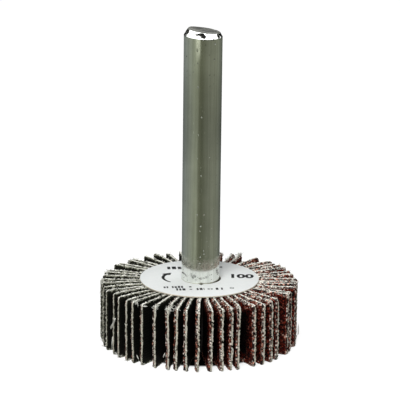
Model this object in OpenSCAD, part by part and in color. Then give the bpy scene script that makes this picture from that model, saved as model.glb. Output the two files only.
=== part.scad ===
// Mounted flap wheel. Flaps of grit-coated cloth stand on edge round a resin core, which
// is cast on the knurled end of a plain steel shank. A paper label covers the core.
// Millimetres. The shank's axis is Z, and the wheel stands on its flaps' edges at z = 0.
// Angles are counted from the front, -Y, and grow towards +X.

/* [Wheel] */
// Diameter over the longest flaps
wheel_d = 31.2; // [28:0.1:36]
// Height of a flap, along the shank
flap_h = 9.9; // [6:0.1:15]
// Number of flaps round the wheel
flap_count = 52; // [40:1:56]
// Turn of the first flap's root from the front, degrees
first_turn = -1; // [-3:0.5:3]

/* [Flap] */
// Thickness of the woven backing
cloth_t = 0.45; // [0.3:0.05:0.5]
// Thickness of the grit and its bond, on the leading side
grit_t = 0.35; // [0.2:0.05:0.4]
// Radius of a flap's two outer corners
corner_r = 0.4; // [0.2:0.1:1.5]
// Straight stretch of a flap between the resin and its bend
straight_l = 0.3; // [0.1:0.1:1]
// How the bend sets in: 1 is a plain slant, 2 a parabola
bend_power = 1.6; // [1.2:0.1:2.2]
// Step by which flaps stand higher than the lowest
lift_h = 0.06; // [0.01:0.01:0.08]
// Step by which flaps are shorter than the longest
trim_l = 0.05; // [0.01:0.01:0.08]

/* [Resin core] */
// Resin film between neighbouring roots
root_gap = 0.06; // [0.03:0.01:0.1]
// How far the resin reaches outwards between the flaps
grip = 1.2; // [0.6:0.1:1.6]
// Recess of the resin's rim above the flaps' lower edges
core_recess = 0.5; // [0.3:0.1:1]
// Further rise of the underside from its rim to the shank
core_dish = 0.4; // [0.2:0.1:1]

/* [Shank] */
// Shank diameter
shank_d = 6; // [5:0.5:6.5]
// Length of the shank above the label, on its axis
shank_free = 40; // [25:1:60]
// Height from the chamfer's foot to the middle of the cut end
chamfer_h = 0.8; // [0.5:0.1:1.5]
// Slope of the chamfer from the level, degrees
chamfer_slope = 58; // [50:1:70]
// Tilt of the chamfer, which was ground by hand, degrees
chamfer_tilt = 2.5; // [0.5:0.5:4]
// Fall of the sheared end towards +X, degrees
shear_side = 7; // [1:0.5:8]
// Fall of the sheared end towards the back, degrees
shear_back = 4.5; // [1:0.5:6]

/* [Knurl] */
// Teeth of the straight knurl, which runs as far as the resin
knurl_count = 20; // [12:1:24]
// Depth of the grooves between the crests
knurl_depth = 0.3; // [0.15:0.05:0.35]
// Height of the rolled-up crests over the bar
knurl_raise = 0.1; // [0.05:0.05:0.15]

/* [Label] */
// Label diameter
label_d = 18.8; // [18:0.1:22]
// Label thickness
label_t = 0.2; // [0.1:0.05:0.4]
// Gap between the shank and the label's hole, all round
label_clear = 0.3; // [0.25:0.05:0.5]
// How far the label sits off centre, towards -X
label_off = 0.15; // [0:0.05:0.2]

/* [Hidden] */
$fn = 96;
// How far each flap's tip leans from its root's angle, in tenths of the spacing
LEAN = [
    0, 1, 0, -2, -6, 0, -1, -2, -4, 3, 1, 5, 4,
    2, -3, 2, 2, -1, -1, -5, -9, -2, 6, 3, 4, 1,
    -1, 1, -1, 1, 2, 3, 6, 2, 4, 0, 5, 1, 1,
    1, 2, 3, 2, 5, 3, 3, 1, 0, 3, 5, 2, 0
];
// Steps of lift and of trim, repeated round the wheel
LIFT = [0, 2, 1, 0, 3, 1, 0, 2, 1, 3, 0, 1, 2];
TRIM = [0, 2, 1, 3, 0, 4, 1];
// Straight pieces that each bend is drawn with
BEND_STEPS = 7;
// Overlap of a cutting body past the faces that it cuts
CUT = 1;

flap_t = cloth_t + grit_t;
pitch = 360 / flap_count;
wheel_r = wheel_d / 2;
root_r = (flap_t + root_gap) / (2 * tan(pitch / 2));
core_r = root_r + grip;
bend_r = core_r + straight_l;
seat_z = flap_h + max(LIFT) * lift_h;
shank_r = shank_d / 2;
shank_z = core_recess + core_dish;
end_z = seat_z + label_t + shank_free;
foot_z = end_z - chamfer_h;
knurl_r = shank_r + knurl_raise;
hole_r = shank_r + label_clear;

flap_names = [for (i = [1 : flap_count]) str("flap_", i < 10 ? "0" : "", i)];

function step_of(list, i) = list[i % len(list)];
function root_turn(i) = first_turn + i * pitch;
function reach(r) = max(0, (r - bend_r) / (wheel_r - bend_r));
// Angle of flap i's middle line off its root's radius, in degrees, and its slope, per mm
function bend(i, r) = step_of(LEAN, i) / 10 * pitch * pow(reach(r), bend_power);
function bend_slope(i, r) = step_of(LEAN, i) / 10 * pitch * PI / 180 * bend_power
    * pow(reach(r), bend_power - 1) / (wheel_r - bend_r);
// Direction of the middle line at radius r, off the local radius
function heading(i, r) = bend(i, r) + atan(r * bend_slope(i, r));
function side_point(i, r, off) = [
    r * cos(bend(i, r)) - off * sin(heading(i, r)),
    r * sin(bend(i, r)) + off * cos(heading(i, r))
];
bend_stations = [for (k = [0 : BEND_STEPS]) bend_r + k / BEND_STEPS * (wheel_r + CUT - bend_r)];
stations = concat([root_r], bend_stations);

// Places what is drawn along +X on flap i's root radius
module at_root(i) {
    rotate(root_turn(i) - 90) children();
}

// Flap i seen from above, run on past its tip
module flap_plan(i) {
    last = len(stations) - 1;
    polygon(concat(
        [for (r = stations) side_point(i, r, flap_t / 2)],
        [for (k = [last : -1 : 0]) side_point(i, stations[k], -flap_t / 2)]
    ));
}

// Disc of radius r with round edges, to which the flap's outer end is trimmed
module trim_disc(r) {
    rotate_extrude() {
        square([r - corner_r, flap_h]);
        translate([0, corner_r]) square([r, flap_h - 2 * corner_r]);
        for (z = [corner_r, flap_h - corner_r]) translate([r - corner_r, z]) circle(corner_r);
    }
}

module flap(i) {
    color("rosybrown")
    translate([0, 0, step_of(LIFT, i) * lift_h])
    intersection() {
        at_root(i) linear_extrude(flap_h) flap_plan(i);
        trim_disc(wheel_r - step_of(TRIM, i) * trim_l);
    }
}

// The straight-knurled end of the bar, which the resin holds
module knurl() {
    translate([0, 0, shank_z]) linear_extrude(seat_z - shank_z) polygon([
        for (k = [0 : 2 * knurl_count - 1])
            let (r = knurl_r - k % 2 * knurl_depth, a = k * 180 / knurl_count)
            [r * cos(a), r * sin(a)]
    ]);
}

// A cone whose surface crosses the bar at the chamfer's foot
module chamfer_cone() {
    below = foot_z - seat_z + CUT;
    above = chamfer_h + CUT;
    translate([0, 0, foot_z]) rotate([0, chamfer_tilt, 0]) translate([0, 0, -below])
        cylinder(
            h = below + above,
            r1 = shank_r + below / tan(chamfer_slope),
            r2 = shank_r - above / tan(chamfer_slope)
        );
}

module shank() {
    color("silver") {
        knurl();
        difference() {
            intersection() {
                translate([0, 0, seat_z]) cylinder(h = end_z + CUT - seat_z, r = shank_r);
                chamfer_cone();
            }
            translate([0, 0, end_z]) rotate([-shear_back, shear_side, 0])
                translate([-shank_d, -shank_d, 0]) cube([2 * shank_d, 2 * shank_d, shank_d]);
        }
    }
}

// Cast resin, slotted by the flaps' roots and filling the knurl
module resin_core() {
    color("saddlebrown")
    difference() {
        rotate_extrude() polygon([
            [0, shank_z], [knurl_r, shank_z], [core_r, core_recess], [core_r, seat_z], [0, seat_z]
        ]);
        knurl();
        for (i = [0 : flap_count - 1]) at_root(i) translate([root_r, -flap_t / 2, 0])
            cube([grip + CUT, flap_t, seat_z + CUT]);
    }
}

module label() {
    color("whitesmoke")
    translate([-label_off, 0, seat_z])
    difference() {
        cylinder(h = label_t, d = label_d);
        translate([0, 0, -CUT]) cylinder(h = label_t + 2 * CUT, r = hole_r);
    }
}

shank();
resin_core();
label();
for (i = [0 : flap_count - 1]) flap(i);
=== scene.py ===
"""Looks of a mounted flap wheel: shank, paper label, resin core and flaps of coated cloth.

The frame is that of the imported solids, in metres: the shank's axis is Z, the flaps stand on
z = 0 and -Y is the front. Angles are counted from the front, in degrees, and grow towards
+X. The wheel's own sizes are in millimetres, and each finished mesh is turned to metres.
"""
import logging
import math
import random
from contextlib import contextmanager
from dataclasses import dataclass, field
from enum import Enum
from typing import Any, Callable, Iterable, Iterator, NamedTuple, Optional, Sequence

import bmesh
import bpy
import numpy as np
from mathutils import Matrix, Vector


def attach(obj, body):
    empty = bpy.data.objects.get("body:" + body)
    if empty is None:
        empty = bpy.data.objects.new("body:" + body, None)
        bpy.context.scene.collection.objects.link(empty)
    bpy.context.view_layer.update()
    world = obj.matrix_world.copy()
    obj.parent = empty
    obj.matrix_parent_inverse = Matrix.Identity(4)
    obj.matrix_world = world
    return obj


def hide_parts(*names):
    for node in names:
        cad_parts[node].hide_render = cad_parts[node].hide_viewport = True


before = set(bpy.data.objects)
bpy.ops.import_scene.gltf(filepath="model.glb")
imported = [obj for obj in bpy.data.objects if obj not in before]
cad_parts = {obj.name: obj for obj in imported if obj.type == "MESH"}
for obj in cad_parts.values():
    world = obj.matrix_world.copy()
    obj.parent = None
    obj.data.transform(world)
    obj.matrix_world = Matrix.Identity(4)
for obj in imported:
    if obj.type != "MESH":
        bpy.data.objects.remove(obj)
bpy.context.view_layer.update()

BODY = "root"
MM = 0.001
# Inputs of a Mix node on colours, and its settings for a plain mix and for a tint
SHARE, FIRST, SECOND = 0, 6, 7
MIX = {"data_type": "RGBA"}
TINT = {"data_type": "RGBA", "blend_type": "MULTIPLY"}
# What the flaps' meshes carry for their finishes: wear, how far each place is spared painted shade,
# and a map
FRAY, UNSHADED, CLOTH_MAP = "fray", "unshaded", "cloth"
# Past this rise of its normal a face counts as level
LEVEL = 0.9
log = logging.getLogger("flap_wheel")

Material = bpy.types.Material
Mesh = bpy.types.Mesh
Node = bpy.types.Node
Piece = bpy.types.Object
Socket = bpy.types.NodeSocket
Tree = bpy.types.NodeTree


class Slot(Enum):
    """Slots of the record, one for each kind of piece made here."""

    SHANK = "shank"
    LABEL = "label"
    CLOTH = "coated_cloth"


class Skin(Enum):
    """The kinds of surface on a flap, by number of its material."""

    GRIT = 0
    BACKING = 1
    CUT_GRIT = 2
    CUT_CLOTH = 3


class Steel(Enum):
    """The kinds of surface on the shank, by number of its material."""

    GROUND = 0
    SHEARED = 1
    DIRTY = 2


def linear(colour: str) -> tuple[float, float, float, float]:
    """Turns an sRGB hex colour to linear light.

    Args:
        colour: Colour as #rrggbb.

    Returns:
        Red, green, blue and full opacity.
    """
    parts = [int(colour[k:k + 2], 16) / 255 for k in (1, 3, 5)]
    light = [c / 12.92 if c <= 0.04045 else ((c + 0.055) / 1.055) ** 2.4 for c in parts]
    return light[0], light[1], light[2], 1.0


def per_size(size_mm: float) -> float:
    """Gives the scale of a texture on metre coordinates whose cells have this size."""
    return 1.0 / (size_mm * MM)


def add_node(
    tree: Tree,
    kind: str,
    inputs: Optional[dict[Any, Any]] = None,
    stops: Sequence[tuple[float, str]] = (),
    **settings: Any,
) -> Node:
    """Adds one node with its settings and links.

    Args:
        tree: Node tree that the node joins.
        kind: Blender's name for the type of node, after ShaderNode.
        inputs: What each input gets, by its name or number: a value, a hex colour, a socket
            or a node, whose first output in use is linked.
        stops: Places and hex colours along a colour ramp.
        settings: Values of the node's own properties.

    Returns:
        The new node.
    """
    node = tree.nodes.new(f"ShaderNode{kind}")
    for name, value in settings.items():
        setattr(node, name, value)
    for key, value in (inputs or {}).items():
        if isinstance(value, Node):
            value = next(output for output in value.outputs if output.enabled)
        if isinstance(value, Socket):
            tree.links.new(value, node.inputs[key])
        else:
            node.inputs[key].default_value = linear(value) if isinstance(value, str) else value
    for number, (place, colour) in enumerate(stops):
        elements = node.color_ramp.elements
        element = elements[number] if number < 2 else elements.new(place)
        element.position = place
        element.color = linear(colour)
    return node


def new_material(name: str) -> tuple[Material, Tree, Socket]:
    """Makes an empty node material.

    Args:
        name: Name of the real material.

    Returns:
        The material, its node tree and its object coordinates.
    """
    material = bpy.data.materials.new(name)
    material.use_nodes = True
    tree = material.node_tree
    tree.nodes.clear()
    return material, tree, add_node(tree, "TexCoord").outputs["Object"]


def show(material: Material, shader: Node) -> Material:
    """Links a shader to the output of its material, which it gives back."""
    add_node(material.node_tree, "OutputMaterial", {"Surface": shader})
    return material


@dataclass(frozen=True)
class GroundSteel:
    """Bright drawn and ground steel bar: a mirror along its length, streaked round it.

    The drawing leaves lengthwise streaks, which blur the reflections sideways, and small
    pits that catch the light. The grinding of the end left faint rings below the chamfer.
    """

    name: str = "ground steel bar"
    colour: str = "#fbfdf9"
    streak_colour: str = "#e0e3dc"
    roughness: float = 0.10
    streak_roughness: float = 0.20
    streak_mm: float = 0.45
    streak_stretch: float = 0.02
    streak_deep: float = 0.018
    wave_mm: float = 1.6
    wave_deep: float = 0.05
    cloud_mm: float = 4.0
    pit_mm: float = 0.62
    pit_deep: float = 0.07
    ring_mm: float = 0.4
    ring_stretch: float = 0.06
    ring_deep: float = 0.012
    rings_from: float = 47.9
    rings_to: float = 49.2

    def build(self) -> Material:
        """Makes the material.

        Returns:
            The finished material.
        """
        material, tree, place = new_material(self.name)
        along = add_node(tree, "Mapping", {
            "Vector": place, "Scale": (1.0, 1.0, self.streak_stretch)})
        streaks = add_node(tree, "TexNoise", {
            "Vector": along, "Scale": per_size(self.streak_mm), "Detail": 6.0,
            "Roughness": 0.62})
        clouds = add_node(tree, "TexNoise", {
            "Vector": place, "Scale": per_size(self.cloud_mm), "Detail": 3.0})
        pits = add_node(tree, "TexVoronoi", {"Vector": place, "Scale": per_size(self.pit_mm)})
        hollow = add_node(tree, "MapRange", {
            "Value": pits, "From Max": 0.22, "To Min": 1.0, "To Max": 0.0})
        chance = add_node(tree, "SeparateColor", {"Color": pits.outputs["Color"]})
        few = add_node(tree, "MapRange", {"Value": chance, "From Min": 0.40, "From Max": 0.85})
        pitted = add_node(tree, "Math", {0: hollow, 1: few}, operation="MULTIPLY")
        streaked = add_node(tree, "MapRange", {
            "Value": streaks, "From Min": 0.36, "From Max": 0.64})
        tone = add_node(tree, "Mix", {
            SHARE: streaked, FIRST: self.colour, SECOND: self.streak_colour}, **MIX)
        dirt = add_node(tree, "MapRange", {
            "Value": clouds, "From Min": 0.35, "From Max": 0.7, "To Min": 1.0, "To Max": 0.86})
        shaded = add_node(tree, "Mix", {SHARE: 1.0, FIRST: tone, SECOND: dirt}, **TINT)
        rough = add_node(tree, "MapRange", {
            "Value": streaks, "From Min": 0.3, "From Max": 0.7, "To Min": self.roughness,
            "To Max": self.streak_roughness})
        waves = add_node(tree, "TexNoise", {
            "Vector": along, "Scale": per_size(self.wave_mm), "Detail": 2.0})
        around = add_node(tree, "Mapping", {
            "Vector": place, "Scale": (self.ring_stretch, self.ring_stretch, 1.0)})
        rings = add_node(tree, "TexNoise", {
            "Vector": around, "Scale": per_size(self.ring_mm), "Detail": 4.0})
        rise = add_node(tree, "SeparateXYZ", {"Vector": place}).outputs[2]
        near_end = add_node(tree, "MapRange", {
            "Value": rise, "From Min": self.rings_from * MM, "From Max": self.rings_to * MM,
            "To Max": 0.5})
        relief = add_node(tree, "Bump", {
            "Height": pitted, "Strength": 1.0, "Distance": self.pit_deep * MM}, invert=True)
        for height, strength, deep in (
                (streaks, 0.7, self.streak_deep), (waves, 0.3, self.wave_deep),
                (rings, near_end, self.ring_deep)):
            relief = add_node(tree, "Bump", {
                "Height": height, "Strength": strength, "Distance": deep * MM,
                "Normal": relief})
        return show(material, add_node(tree, "BsdfPrincipled", {
            "Base Color": shaded, "Metallic": 1.0, "Roughness": rough, "Anisotropic": 0.85,
            "Normal": relief}))


@dataclass(frozen=True)
class ShearedSteel:
    """Torn end of a cropped steel bar: dull and dark, with shear lines across it."""

    name: str = "sheared steel"
    colour: str = "#666760"
    dark_colour: str = "#10110f"
    line_mm: float = 0.6
    line_stretch: float = 0.25

    def build(self) -> Material:
        """Makes the material.

        Returns:
            The finished material.
        """
        material, tree, place = new_material(self.name)
        across = add_node(tree, "Mapping", {
            "Vector": place, "Scale": (self.line_stretch, 1.0, 1.0)})
        tears = add_node(tree, "TexNoise", {
            "Vector": across, "Scale": per_size(self.line_mm), "Detail": 5.0})
        tone = add_node(tree, "ValToRGB", {"Fac": tears}, stops=(
            (0.38, self.dark_colour), (0.60, self.colour)))
        relief = add_node(tree, "Bump", {
            "Height": tears, "Strength": 0.8, "Distance": 0.06 * MM})
        return show(material, add_node(tree, "BsdfPrincipled", {
            "Base Color": tone, "Metallic": 1.0, "Roughness": 0.48, "Normal": relief}))


@dataclass(frozen=True)
class CloudedFinish:
    """The form of the plain finishes: two shades that a cloudy noise mixes."""

    name: str
    colour: str
    cloud_colour: str
    cloud_mm: float
    detail: float
    roughness: float
    cloud_roughness: float = 0.5
    ior: float = 1.5
    specular: float = 0.5
    relief: float = 0.0
    relief_mm: float = 0.0

    def build(self) -> Material:
        """Makes the material.

        Returns:
            The finished material.
        """
        material, tree, place = new_material(self.name)
        clouds = add_node(tree, "TexNoise", {
            "Vector": place, "Scale": per_size(self.cloud_mm), "Detail": self.detail,
            "Roughness": self.cloud_roughness})
        looks = {
            "Base Color": add_node(tree, "Mix", {
                SHARE: clouds, FIRST: self.colour, SECOND: self.cloud_colour}, **MIX),
            "Roughness": self.roughness, "IOR": self.ior, "Specular IOR Level": self.specular}
        if self.relief:
            looks["Normal"] = add_node(tree, "Bump", {
                "Height": clouds, "Strength": self.relief, "Distance": self.relief_mm * MM})
        return show(material, add_node(tree, "BsdfPrincipled", looks))


@dataclass(frozen=True)
class GrindingDirt(CloudedFinish):
    """Oily black grinding dirt in the dents of the steel: dull, swallows the light."""

    name: str = "grinding dirt"
    colour: str = "#030303"
    cloud_colour: str = "#1a1a16"
    cloud_mm: float = 0.2
    detail: float = 4.0
    roughness: float = 0.7
    specular: float = 0.15
    relief: float = 0.6
    relief_mm: float = 0.04


@dataclass(frozen=True)
class CoatedPaper(CloudedFinish):
    """Clay-coated label paper: smooth, cool white, with a faint cloudiness of its fibres."""

    name: str = "coated paper"
    colour: str = "#f4f6f5"
    cloud_colour: str = "#e9edec"
    cloud_mm: float = 0.7
    detail: float = 6.0
    roughness: float = 0.5
    cloud_roughness: float = 0.6
    ior: float = 1.48
    relief: float = 0.25
    relief_mm: float = 0.02


@dataclass(frozen=True)
class PaperEdge(CloudedFinish):
    """Die-cut edge of the label: bare cream fibres without the coating."""

    name: str = "cut paper edge"
    colour: str = "#f2ecdc"
    cloud_colour: str = "#d9d0ba"
    cloud_mm: float = 0.25
    detail: float = 4.0
    roughness: float = 0.8
    ior: float = 1.48


@dataclass(frozen=True)
class PrintingInk(CloudedFinish):
    """Black offset ink: nearly flat black with a trace of gloss, a little uneven."""

    name: str = "printing ink"
    colour: str = "#060607"
    cloud_colour: str = "#141416"
    cloud_mm: float = 0.3
    detail: float = 3.0
    roughness: float = 0.5
    specular: float = 0.25


@dataclass(frozen=True)
class LooseCotton(CloudedFinish):
    """Loose cotton fibre: undyed, off-white and matt."""

    name: str = "loose cotton fibre"
    colour: str = "#fffff8"
    cloud_colour: str = "#d3d4c8"
    cloud_mm: float = 0.6
    detail: float = 2.0
    roughness: float = 0.9
    specular: float = 0.2


@dataclass(frozen=True)
class CastResin:
    """Cast epoxy resin: amber brown, glossy on top of a cloudy filled body, with bubbles.

    Painted shade makes its wall between the flaps and its top beneath the label black.
    """

    name: str = "cast epoxy resin"
    colour: str = "#5a3a22"
    pale_colour: str = "#8a6238"
    cloud_mm: float = 2.2
    bubble_mm: float = 0.55
    # Painted shade: radii over which the wall darkens, heights over which the top darkens, and the
    # share of light left there
    unshaded_r: float = 7.9
    wall_r: float = 8.25
    shade_from: float = 9.0
    shade_to: float = 9.9
    painted_shade_factor: float = 0.04

    def build(self) -> Material:
        """Makes the material.

        Returns:
            The finished material.
        """
        material, tree, place = new_material(self.name)
        clouds = add_node(tree, "TexNoise", {
            "Vector": place, "Scale": per_size(self.cloud_mm), "Detail": 5.0})
        bubbles = add_node(tree, "TexVoronoi", {
            "Vector": place, "Scale": per_size(self.bubble_mm)})
        rings = add_node(tree, "MapRange", {
            "Value": bubbles, "From Min": 0.05, "From Max": 0.28})
        tone = add_node(tree, "Mix", {
            SHARE: clouds, FIRST: self.colour, SECOND: self.pale_colour}, **MIX)
        plan = add_node(tree, "VectorMath", {0: place, 1: (1.0, 1.0, 0.0)}, operation="MULTIPLY")
        radius = add_node(tree, "VectorMath", {0: plan}, operation="LENGTH")
        rise = add_node(tree, "SeparateXYZ", {"Vector": place}).outputs[2]
        # Painted shade: black on the wall between the flaps and on the top beneath the label, where
        # shade falls
        wall, under_label = (
            add_node(tree, "MapRange", {
                "Value": way, "From Min": start * MM, "From Max": end * MM, "To Min": 1.0,
                "To Max": self.painted_shade_factor})
            for way, start, end in (
                (radius, self.unshaded_r, self.wall_r), (rise, self.shade_from, self.shade_to)))
        painted_shade = add_node(tree, "Math", {0: wall, 1: under_label}, operation="MULTIPLY")
        tone_in_shade = add_node(tree, "Mix", {SHARE: 1.0, FIRST: tone, SECOND: painted_shade}, **TINT)
        height = add_node(tree, "Math", {0: rings, 1: clouds}, operation="ADD")
        relief = add_node(tree, "Bump", {
            "Height": height, "Strength": 0.5, "Distance": 0.08 * MM})
        return show(material, add_node(tree, "BsdfPrincipled", {
            "Base Color": tone_in_shade, "Roughness": 0.32, "IOR": 1.55,
            "Specular IOR Level": 0.2, "Normal": relief}))


@dataclass(frozen=True)
class BondedGrit:
    """Brown aluminium oxide grit in red-brown phenolic resin, electrostatically coated.

    Each grain is a little crystal. Grains near the cut edges are chipped and glint pale. Painted
    shade darkens the hollows between the grains, and the coat deep between the flaps.
    """

    name: str = "bonded aluminium oxide grit"
    grain_mm: float = 0.26
    patch_mm: float = 1.3
    deep: str = "#0c0101"
    red: str = "#6e170b"
    rust: str = "#a83e28"
    pink: str = "#e0907a"
    glint: str = "#ffd9c6"
    chipped: float = 0.46
    patchy: float = 0.5
    darkened: float = 0.38
    relief_mm: float = 0.07

    def build(self) -> Material:
        """Makes the material.

        Returns:
            The finished material.
        """
        material, tree, place = new_material(self.name)
        grains = add_node(tree, "TexVoronoi", {
            "Vector": place, "Scale": per_size(self.grain_mm)})
        pick = add_node(tree, "SeparateColor", {"Color": grains.outputs["Color"]}).outputs
        patches = add_node(tree, "TexNoise", {
            "Vector": place, "Scale": per_size(self.patch_mm), "Detail": 3.0})
        edge = add_node(tree, "Attribute", attribute_name=FRAY).outputs["Fac"]
        near = add_node(tree, "Math", {0: edge, 1: self.chipped, 2: pick[0]},
                        operation="MULTIPLY_ADD")
        spread = add_node(tree, "Math", {0: patches, 1: self.patchy, 2: near},
                          operation="MULTIPLY_ADD")
        level = add_node(tree, "Math", {0: spread, 1: self.darkened}, operation="SUBTRACT")
        tone = add_node(tree, "ValToRGB", {"Fac": level}, stops=(
            (0.08, self.deep), (0.40, self.red), (0.73, self.rust), (0.90, self.pink),
            (1.0, self.glint)))
        dome = add_node(tree, "MapRange", {
            "Value": grains, "From Max": 0.6, "To Min": 1.0, "To Max": 0.0})
        # Painted shade in the hollows between the grains
        hollow_shade = add_node(tree, "MapRange", {
            "Value": dome, "From Max": 0.45, "To Min": 0.30})
        # Painted shade: the coat darkens deep between the flaps, away from their tips and their
        # upper and lower edges
        unshaded = add_node(tree, "Attribute", attribute_name=UNSHADED).outputs["Fac"]
        light = add_node(tree, "Math", {0: hollow_shade, 1: unshaded}, operation="MULTIPLY")
        shaded = add_node(tree, "Mix", {SHARE: 1.0, FIRST: tone, SECOND: light}, **TINT)
        rough = add_node(tree, "MapRange", {"Value": pick[1], "To Min": 0.45, "To Max": 0.8})
        relief = add_node(tree, "Bump", {
            "Height": dome, "Strength": 1.0, "Distance": self.relief_mm * MM})
        return show(material, add_node(tree, "BsdfPrincipled", {
            "Base Color": shaded, "Roughness": rough, "IOR": 1.6,
            "Specular IOR Level": 0.06, "Normal": relief}))


@dataclass(frozen=True)
class BrokenGrit:
    """The coat's cut edge: grains broken open, pale pink and white in dark red resin."""

    name: str = "broken aluminium oxide grit"
    grain_mm: float = 0.34
    deep: str = "#1c0603"
    red: str = "#5c271b"
    rust: str = "#b86c55"
    pink: str = "#f2b49c"
    glint: str = "#fff0e2"
    relief_mm: float = 0.05

    def build(self) -> Material:
        """Makes the material.

        Returns:
            The finished material.
        """
        material, tree, place = new_material(self.name)
        grains = add_node(tree, "TexVoronoi", {
            "Vector": place, "Scale": per_size(self.grain_mm)})
        pick = add_node(tree, "SeparateColor", {"Color": grains.outputs["Color"]})
        tone = add_node(tree, "ValToRGB", {"Fac": pick}, stops=(
            (0.12, self.deep), (0.26, self.red), (0.42, self.rust), (0.57, self.pink),
            (0.72, self.glint)))
        dome = add_node(tree, "MapRange", {
            "Value": grains, "From Min": 0.25, "From Max": 0.6, "To Min": 1.0, "To Max": 0.0})
        # Painted shade in the hollows between the grains
        hollow_shade = add_node(tree, "MapRange", {"Value": dome, "To Min": 0.12})
        shaded = add_node(tree, "Mix", {SHARE: 1.0, FIRST: tone, SECOND: hollow_shade}, **TINT)
        relief = add_node(tree, "Bump", {
            "Height": dome, "Strength": 1.0, "Distance": self.relief_mm * MM})
        return show(material, add_node(tree, "BsdfPrincipled", {
            "Base Color": shaded, "Roughness": 0.5, "IOR": 1.6,
            "Specular IOR Level": 0.12, "Normal": relief}))


@dataclass(frozen=True)
class FinishedBacking:
    """Cotton twill filled with dark resin: near-black olive, its yarns showing as ribs.

    Towards the cut edges the filling is rubbed off and grey fibres come through. The real
    yarns are about as far apart as they are drawn here.
    """

    name: str = "resin-filled cotton backing"
    dark: str = "#030302"
    worn: str = "#4a4a3a"
    fibre: str = "#b4b6a4"
    yarn_mm: float = 0.42
    rub_mm: float = 0.5
    rib_share: float = 0.2
    rub_share: float = 0.4
    relief_mm: float = 0.12

    def build(self) -> Material:
        """Makes the material.

        Returns:
            The finished material.
        """
        material, tree, place = new_material(self.name)
        sheet = add_node(tree, "UVMap", uv_map=CLOTH_MAP)
        # A wave texture repeats after a twentieth of a whole turn
        turns = 2.0 * math.pi / 20.0 / self.yarn_mm
        warp, weft = (
            add_node(tree, "TexWave", {
                "Vector": sheet, "Scale": turns, "Distortion": 0.6, "Detail": 1.0},
                bands_direction=way).outputs["Fac"]
            for way in ("X", "Y"))
        weave = add_node(tree, "Math", {0: warp, 1: weft}, operation="MULTIPLY")
        rub = add_node(tree, "TexNoise", {
            "Vector": place, "Scale": per_size(self.rub_mm), "Detail": 5.0, "Roughness": 0.7})
        worn = add_node(tree, "Math", {0: weave, 1: rub}, operation="MULTIPLY")
        fray = add_node(tree, "Attribute", attribute_name=FRAY).outputs["Fac"]
        rubbed = add_node(tree, "Math", {0: fray, 1: 2.0}, operation="POWER")
        ribs = add_node(tree, "Math", {0: worn, 1: self.rib_share}, operation="MULTIPLY")
        paler = add_node(tree, "Math", {0: rubbed, 1: self.rub_share, 2: ribs},
                         operation="MULTIPLY_ADD")
        tone = add_node(tree, "Mix", {SHARE: paler, FIRST: self.dark, SECOND: self.worn}, **MIX)
        reach = add_node(tree, "Math", {0: fray, 1: rub}, operation="MULTIPLY")
        bare = add_node(tree, "MapRange", {"Value": reach, "From Min": 0.40, "From Max": 0.48})
        colour = add_node(tree, "Mix", {SHARE: bare, FIRST: tone, SECOND: self.fibre}, **MIX)
        relief = add_node(tree, "Bump", {
            "Height": worn, "Strength": 0.9, "Distance": self.relief_mm * MM})
        return show(material, add_node(tree, "BsdfPrincipled", {
            "Base Color": colour, "Roughness": 0.85, "IOR": 1.5,
            "Specular IOR Level": 0.12, "Normal": relief}))


@dataclass(frozen=True)
class CutCotton:
    """Cut edge of the cotton backing: frayed cream yarn ends, dark filling between them.

    The upright edges, which meet the work, are closed up, and painted shade darkens every face that
    doesn't face up, as the light falls from above.
    """

    name: str = "cut cotton yarn"
    pale: str = "#fffff6"
    cream: str = "#f0f0e2"
    grey: str = "#86877a"
    dark: str = "#0a0a07"
    # Colour and share of the painted shade on faces that don't face up
    painted_shade: str = "#bcb4a2"
    painted_shade_factor: float = 0.65
    closed_up: float = 0.015
    yarn_mm: float = 0.42
    tuft_mm: float = 0.9
    tuft_share: float = 0.4
    relief_mm: float = 0.05

    def build(self) -> Material:
        """Makes the material.

        Returns:
            The finished material.
        """
        material, tree, place = new_material(self.name)
        normal = add_node(tree, "TexCoord").outputs["Normal"]
        facing_up = add_node(tree, "SeparateXYZ", {"Vector": normal}).outputs[2]
        upright = add_node(tree, "MapRange", {
            "Value": facing_up, "From Min": 0.25, "From Max": 0.75, "To Min": 1.0,
            "To Max": 0.0})
        ends = add_node(tree, "TexNoise", {
            "Vector": place, "Scale": per_size(self.yarn_mm), "Detail": 5.0, "Roughness": 0.7})
        tufts = add_node(tree, "TexNoise", {
            "Vector": place, "Scale": per_size(self.tuft_mm), "Detail": 2.0})
        mixed = add_node(tree, "Math", {0: tufts, 1: self.tuft_share, 2: ends},
                         operation="MULTIPLY_ADD")
        closed = add_node(tree, "Math", {0: upright, 1: self.closed_up, 2: mixed},
                          operation="MULTIPLY_ADD")
        unshaded = add_node(tree, "ValToRGB", {"Fac": closed}, stops=(
            (0.605, self.dark), (0.635, self.grey), (0.66, self.cream), (0.70, self.pale)))
        # Painted shade: a warm grey tint on every face that doesn't face up
        painted_shade = add_node(tree, "Math", {0: upright, 1: self.painted_shade_factor}, operation="MULTIPLY")
        tone = add_node(tree, "Mix", {SHARE: painted_shade, FIRST: unshaded, SECOND: self.painted_shade}, **TINT)
        relief = add_node(tree, "Bump", {
            "Height": ends, "Strength": 1.0, "Distance": self.relief_mm * MM})
        return show(material, add_node(tree, "BsdfPrincipled", {
            "Base Color": tone, "Roughness": 0.9, "IOR": 1.5, "Specular IOR Level": 0.2,
            "Normal": relief}))


def deselect() -> None:
    """Deselects every object."""
    bpy.ops.object.select_all(action="DESELECT")


def pick_one(piece: Piece) -> None:
    """Makes one object the only selected one, and active.

    Args:
        piece: The object.
    """
    deselect()
    piece.select_set(True)
    bpy.context.view_layer.objects.active = piece


def apply_place(piece: Piece) -> None:
    """Puts an object's place, turn and size into its mesh."""
    pick_one(piece)
    bpy.ops.object.transform_apply(location=True, rotation=True, scale=True)


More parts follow.
